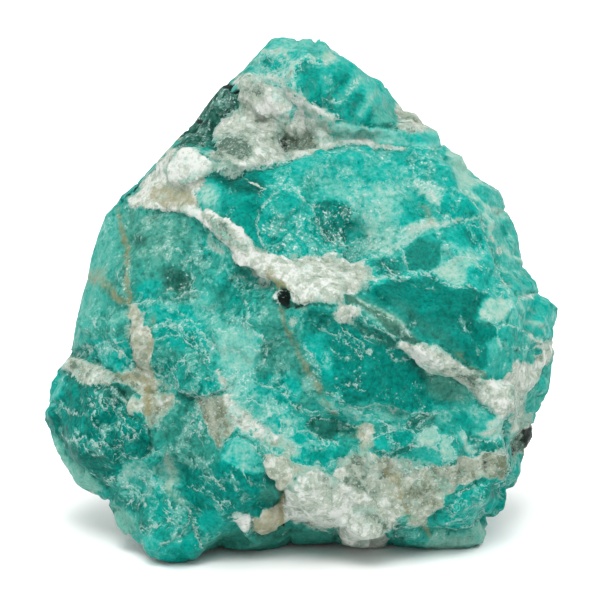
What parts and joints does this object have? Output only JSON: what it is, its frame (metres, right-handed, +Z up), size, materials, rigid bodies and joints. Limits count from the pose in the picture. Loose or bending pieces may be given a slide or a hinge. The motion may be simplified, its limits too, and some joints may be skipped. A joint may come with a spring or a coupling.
{
  "type": "rough amazonite",
  "caption": "Rough broken lump of green amazonite feldspar crossed by white quartz veins, resting on a small flat spot.",
  "frame": {"origin": "centre of the bounding box at the height of the surface the stone rests on", "axes": "+Z up, X across the broad face, which looks towards -Y and leans back"},
  "size_m": [0.0612, 0.043, 0.0567],
  "materials": {
    "amazonite": "broken feldspar with a waxy to sugary surface, blue-green with white and grey quartz veins and buff stains"
  },
  "bodies": {
    "root": {"amazonite": "amazonite"}
  },
  "joints": []
}
